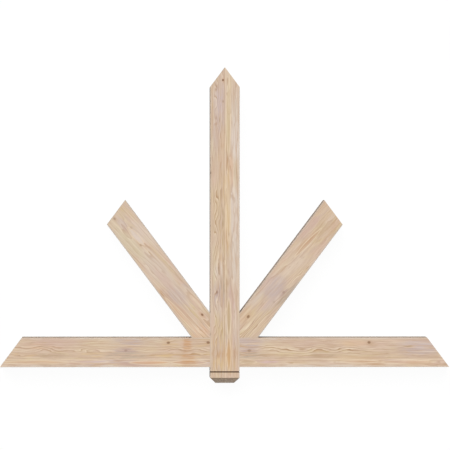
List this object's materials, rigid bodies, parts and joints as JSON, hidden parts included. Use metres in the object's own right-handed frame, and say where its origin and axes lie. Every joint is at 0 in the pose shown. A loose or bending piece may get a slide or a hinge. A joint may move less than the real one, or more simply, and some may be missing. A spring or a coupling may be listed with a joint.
{
  "type": "timber gable bracket",
  "caption": "Decorative timber gable bracket: king post with grooved foot crossing a tie beam with raked ends, and raking struts between them.",
  "frame": {"origin": "where the centrelines of the king post and the tie beam cross, on the back face that the bracket lies on", "axes": "+X along the tie beam, to the right as seen from the front; +Y up the king post towards the gable's peak; +Z out of the front face"},
  "size_m": [2.1336, 1.4987, 0.1397],
  "materials": {
    "king_post_timber": "matte",
    "tie_beam_timber": "matte",
    "strut_left_timber": "matte",
    "strut_right_timber": "matte"
  },
  "bodies": {
    "root": {"king_post": "king_post_timber", "tie_beam": "tie_beam_timber", "strut_left": "strut_left_timber", "strut_right": "strut_right_timber"}
  },
  "joints": []
}
